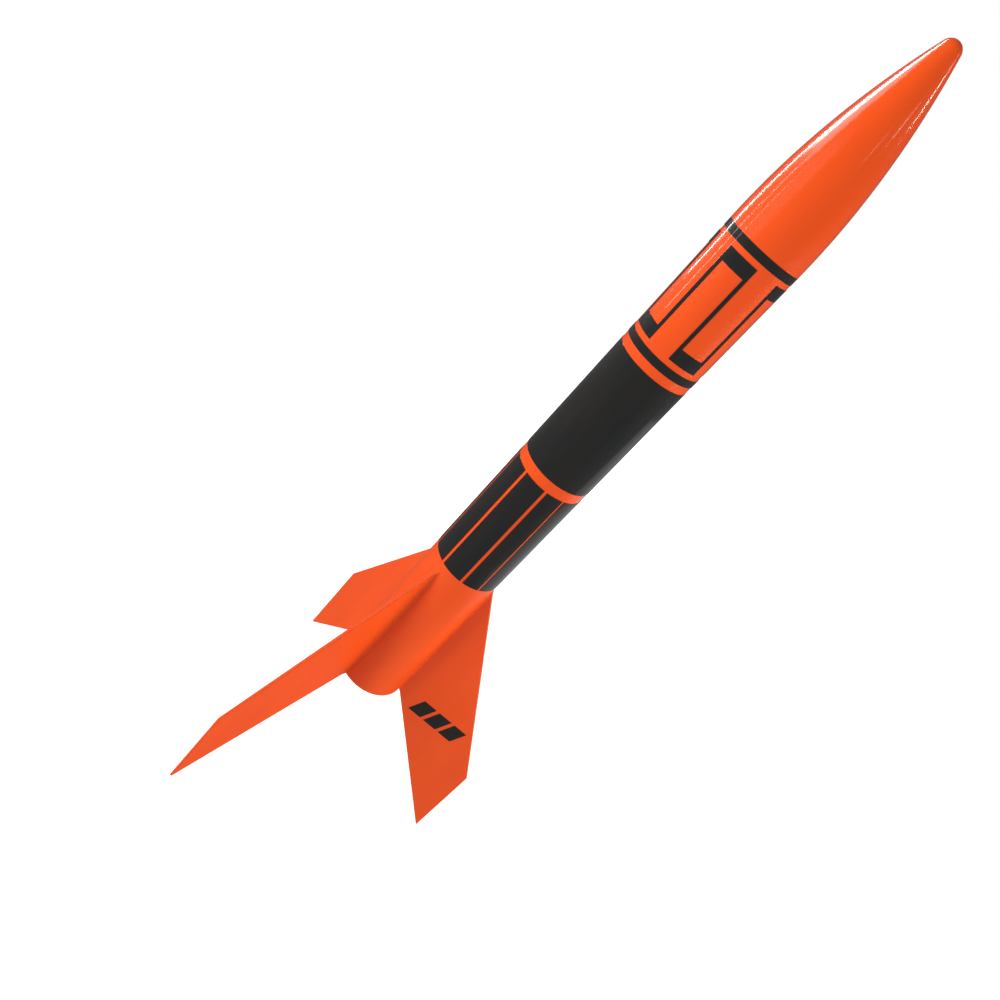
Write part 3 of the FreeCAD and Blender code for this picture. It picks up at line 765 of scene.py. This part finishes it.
WADDING_ROUNDS = 96
WADDING_ROWS = 64
WADDING_SIDE_POWER = 0.35
WADDING_END_POWER = 0.6
WADDING_CREASE_SCALE = 2.3
WADDING_CREASE_FULL = 2.6
WADDING_INNER_SHARE = 0.80
WADDING_CREASE_SHARE = 0.19


def add_wadding():
    """A few sheets of tissue pushed into a loose, creased plug."""
    low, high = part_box("recovery_wadding")
    middle_z = (low.z + high.z) / 2
    half = (high.z - low.z) / 2
    shape = bmesh.new()
    rings = []
    for row in range(WADDING_ROWS + 1):
        slope = math.pi * (row / WADDING_ROWS - 0.5)
        flat = abs(math.cos(slope)) ** WADDING_SIDE_POWER if 0 < row < WADDING_ROWS else 0.0
        rise = math.copysign(abs(math.sin(slope)) ** WADDING_END_POWER, slope)
        ring = []
        for step in range(WADDING_ROUNDS):
            angle = math.tau * step / WADDING_ROUNDS
            place = Vector((flat * math.cos(angle), flat * math.sin(angle), rise)) * WADDING_CREASE_SCALE
            crease = noise.ridged_multi_fractal(place, 0.9, 2.1, 4, 1.0, 2.0, noise_basis="PERLIN_ORIGINAL")
            inward = WADDING_INNER_SHARE + WADDING_CREASE_SHARE * min(1.0, crease / WADDING_CREASE_FULL)
            ring.append((high.x * flat * inward, angle, middle_z + half * rise * inward))
        rings.append(ring)
    grid = []
    for row, ring in enumerate(rings):
        if row in (0, WADDING_ROWS):
            pole_z = sum(z for _, _, z in ring) / len(ring)
            grid.append([shape.verts.new((0.0, 0.0, pole_z))] * WADDING_ROUNDS)
        else:
            grid.append([shape.verts.new(polar(*place)) for place in ring])
    for lower, upper in zip(grid, grid[1:]):
        for step in range(WADDING_ROUNDS):
            after = (step + 1) % WADDING_ROUNDS
            corners = [lower[step], lower[after], upper[after], upper[step]]
            shape.faces.new(list(dict.fromkeys(corners)))
    mesh = finished_mesh("wadding_crumpled", shape)
    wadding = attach(add_piece("wadding_crumpled", mesh, "wadding_tissue"), "airframe")
    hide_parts("recovery_wadding")


# ---- glue beads beside the launch lug -------------------------------------------------------------

BEAD_RADIUS = 0.42 * MM
BEAD_STEP = 1.0 * MM
BEAD_OVERHANG = 0.6 * MM
BEAD_ACROSS = 1.42 * MM
BEAD_LIFT = 0.12 * MM
BEAD_TAPER_STEPS = 6
BEAD_END_SHARE = 0.25
BEAD_SWELL = 0.2
BEAD_SWELL_LENGTH = 4 * MM


def add_lug_glue():
    """A thin uneven bead of glue along each side of the launch lug."""
    low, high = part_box("launch_lug")
    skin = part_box("decal_black_band")[1].x
    steps = round((high.z - low.z) / BEAD_STEP)
    for side in (-1, 1):
        shape = bmesh.new()
        rings = []
        for step in range(steps + 1):
            z = low.z - BEAD_OVERHANG + (high.z - low.z + 2 * BEAD_OVERHANG) * step / steps
            swell = noise.noise(Vector((side * 3.0, 0.0, z / BEAD_SWELL_LENGTH)))
            from_end = min(1.0, step / BEAD_TAPER_STEPS, (steps - step) / BEAD_TAPER_STEPS)
            taper = BEAD_END_SHARE + (1 - BEAD_END_SHARE) * math.sin(math.pi * from_end / 2)
            radius = BEAD_RADIUS * taper * (1.0 + BEAD_SWELL * swell)
            across = side * BEAD_ACROSS
            centre = Vector((across, math.sqrt(skin ** 2 - across ** 2) + BEAD_LIFT, z))
            rings.append([
                shape.verts.new(centre + Vector((x, y, 0.0)))
                for x, y in round_section(radius, 10)
            ])
        for first, second in zip(rings, rings[1:]):
            for corner in range(len(first)):
                after = (corner + 1) % len(first)
                shape.faces.new((first[corner], first[after], second[after], second[corner]))
        shape.faces.new(rings[0])
        shape.faces.new(rings[-1])
        name = "lug_glue_left" if side < 0 else "lug_glue_right"
        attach(add_piece(name, finished_mesh(name, shape), "lug_paper"), "airframe")


# ---- build --------------------------------------------------------------------------------------

bpy.context.scene.view_settings.view_transform = "Standard"
add_camera()
add_world()
add_lights()
add_floor()
materials = finishes()
dress_nodes(materials)
add_hook()
add_shock_cord()
add_canopy()
add_lines()
add_wadding()
add_lug_glue()
